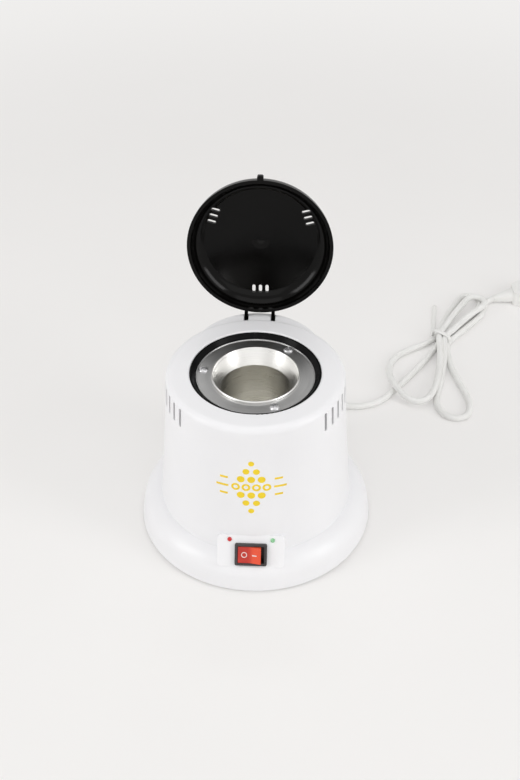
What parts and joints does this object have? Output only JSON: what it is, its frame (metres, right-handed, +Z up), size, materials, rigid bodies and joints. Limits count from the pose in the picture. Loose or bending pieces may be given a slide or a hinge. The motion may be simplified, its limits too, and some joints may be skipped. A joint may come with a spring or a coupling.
{
  "type": "glass bead sterilizer",
  "caption": "Round bench steriliser: white waisted housing with a heated bead crucible, hinged black lid, front rocker switch and lamps, and a tied mains cord.",
  "frame": {"origin": "on the bench surface under the middle of the round body", "axes": "+Z up along the crucible's bore, -Y the front with the rocker switch, +Y the back with the lid's hinge and the cord"},
  "size_m": [0.3491, 0.3623, 0.2245],
  "materials": {
    "white_body": "smooth gloss moulding",
    "black_gloss": "polished",
    "black_collar": "fine satin",
    "charcoal": "satin",
    "rocker_orange": "translucent orange-red",
    "lamp_red": "tinted lens",
    "lamp_green": "pale tinted lens",
    "plate_steel": "fine brushed",
    "pot_aluminium": "turned",
    "steel_zinc": "zinc plated",
    "pin_steel": "ground",
    "mica_band": "dull",
    "wool": "ceramic fibre",
    "black_bakelite": "moulded",
    "board_green": "coated",
    "block_cream": "moulded",
    "brass_contact": "plain",
    "foot_rubber": "matt",
    "cord_white": "soft PVC",
    "wire_sheath": "silicone",
    "pin_nickel": "nickel plated"
  },
  "bodies": {
    "base": {"housing": "white_body", "base_plate": "charcoal", "rubber_feet": "foot_rubber", "base_screws": "steel_zinc", "collar_ring": "black_collar", "flange_plate": "plate_steel", "plate_screws": "steel_zinc", "crucible": "pot_aluminium", "heater_band": "mica_band", "band_screw": "steel_zinc", "insulation_sleeve": "wool", "insulation_disc": "wool", "heat_shield": "plate_steel", "can_screws": "steel_zinc", "thermostat": "black_bakelite", "thermostat_strap": "steel_zinc", "strap_screws": "steel_zinc", "thermal_fuse": "steel_zinc", "fuse_saddle": "steel_zinc", "switch_body": "charcoal", "switch_blades": "brass_contact", "red_lamp": "lamp_red", "green_lamp": "lamp_green", "lamp_board": "board_green", "hinge_pin": "pin_steel", "strain_relief": "cord_white", "lead_tail": "cord_white", "cord_clamp": "block_cream", "clamp_screws": "steel_zinc", "terminal_block": "block_cream", "terminal_screws": "brass_contact", "switch_leads": "wire_sheath", "heater_leads": "wire_sheath", "power_cord": "cord_white", "cord_hank": "cord_white", "cord_tie": "cord_white", "plug_body": "cord_white", "plug_pins": "pin_nickel"},
    "lid": {"lid": "black_gloss"},
    "rocker": {"switch_rocker": "rocker_orange"}
  },
  "joints": [
    {"name": "lid_hinge", "type": "hinge", "parent": "base", "child": "lid", "pos_m": [0, 0.0557, 0.1183], "axis": [1, 0, 0], "range_deg": [0, 95.4]},
    {"name": "rocker_tilt", "type": "hinge", "parent": "base", "child": "rocker", "pos_m": [0, -0.06867, 0.02531], "axis": [0, 0.4787, 0.878], "range_deg": [0, 20]}
  ]
}
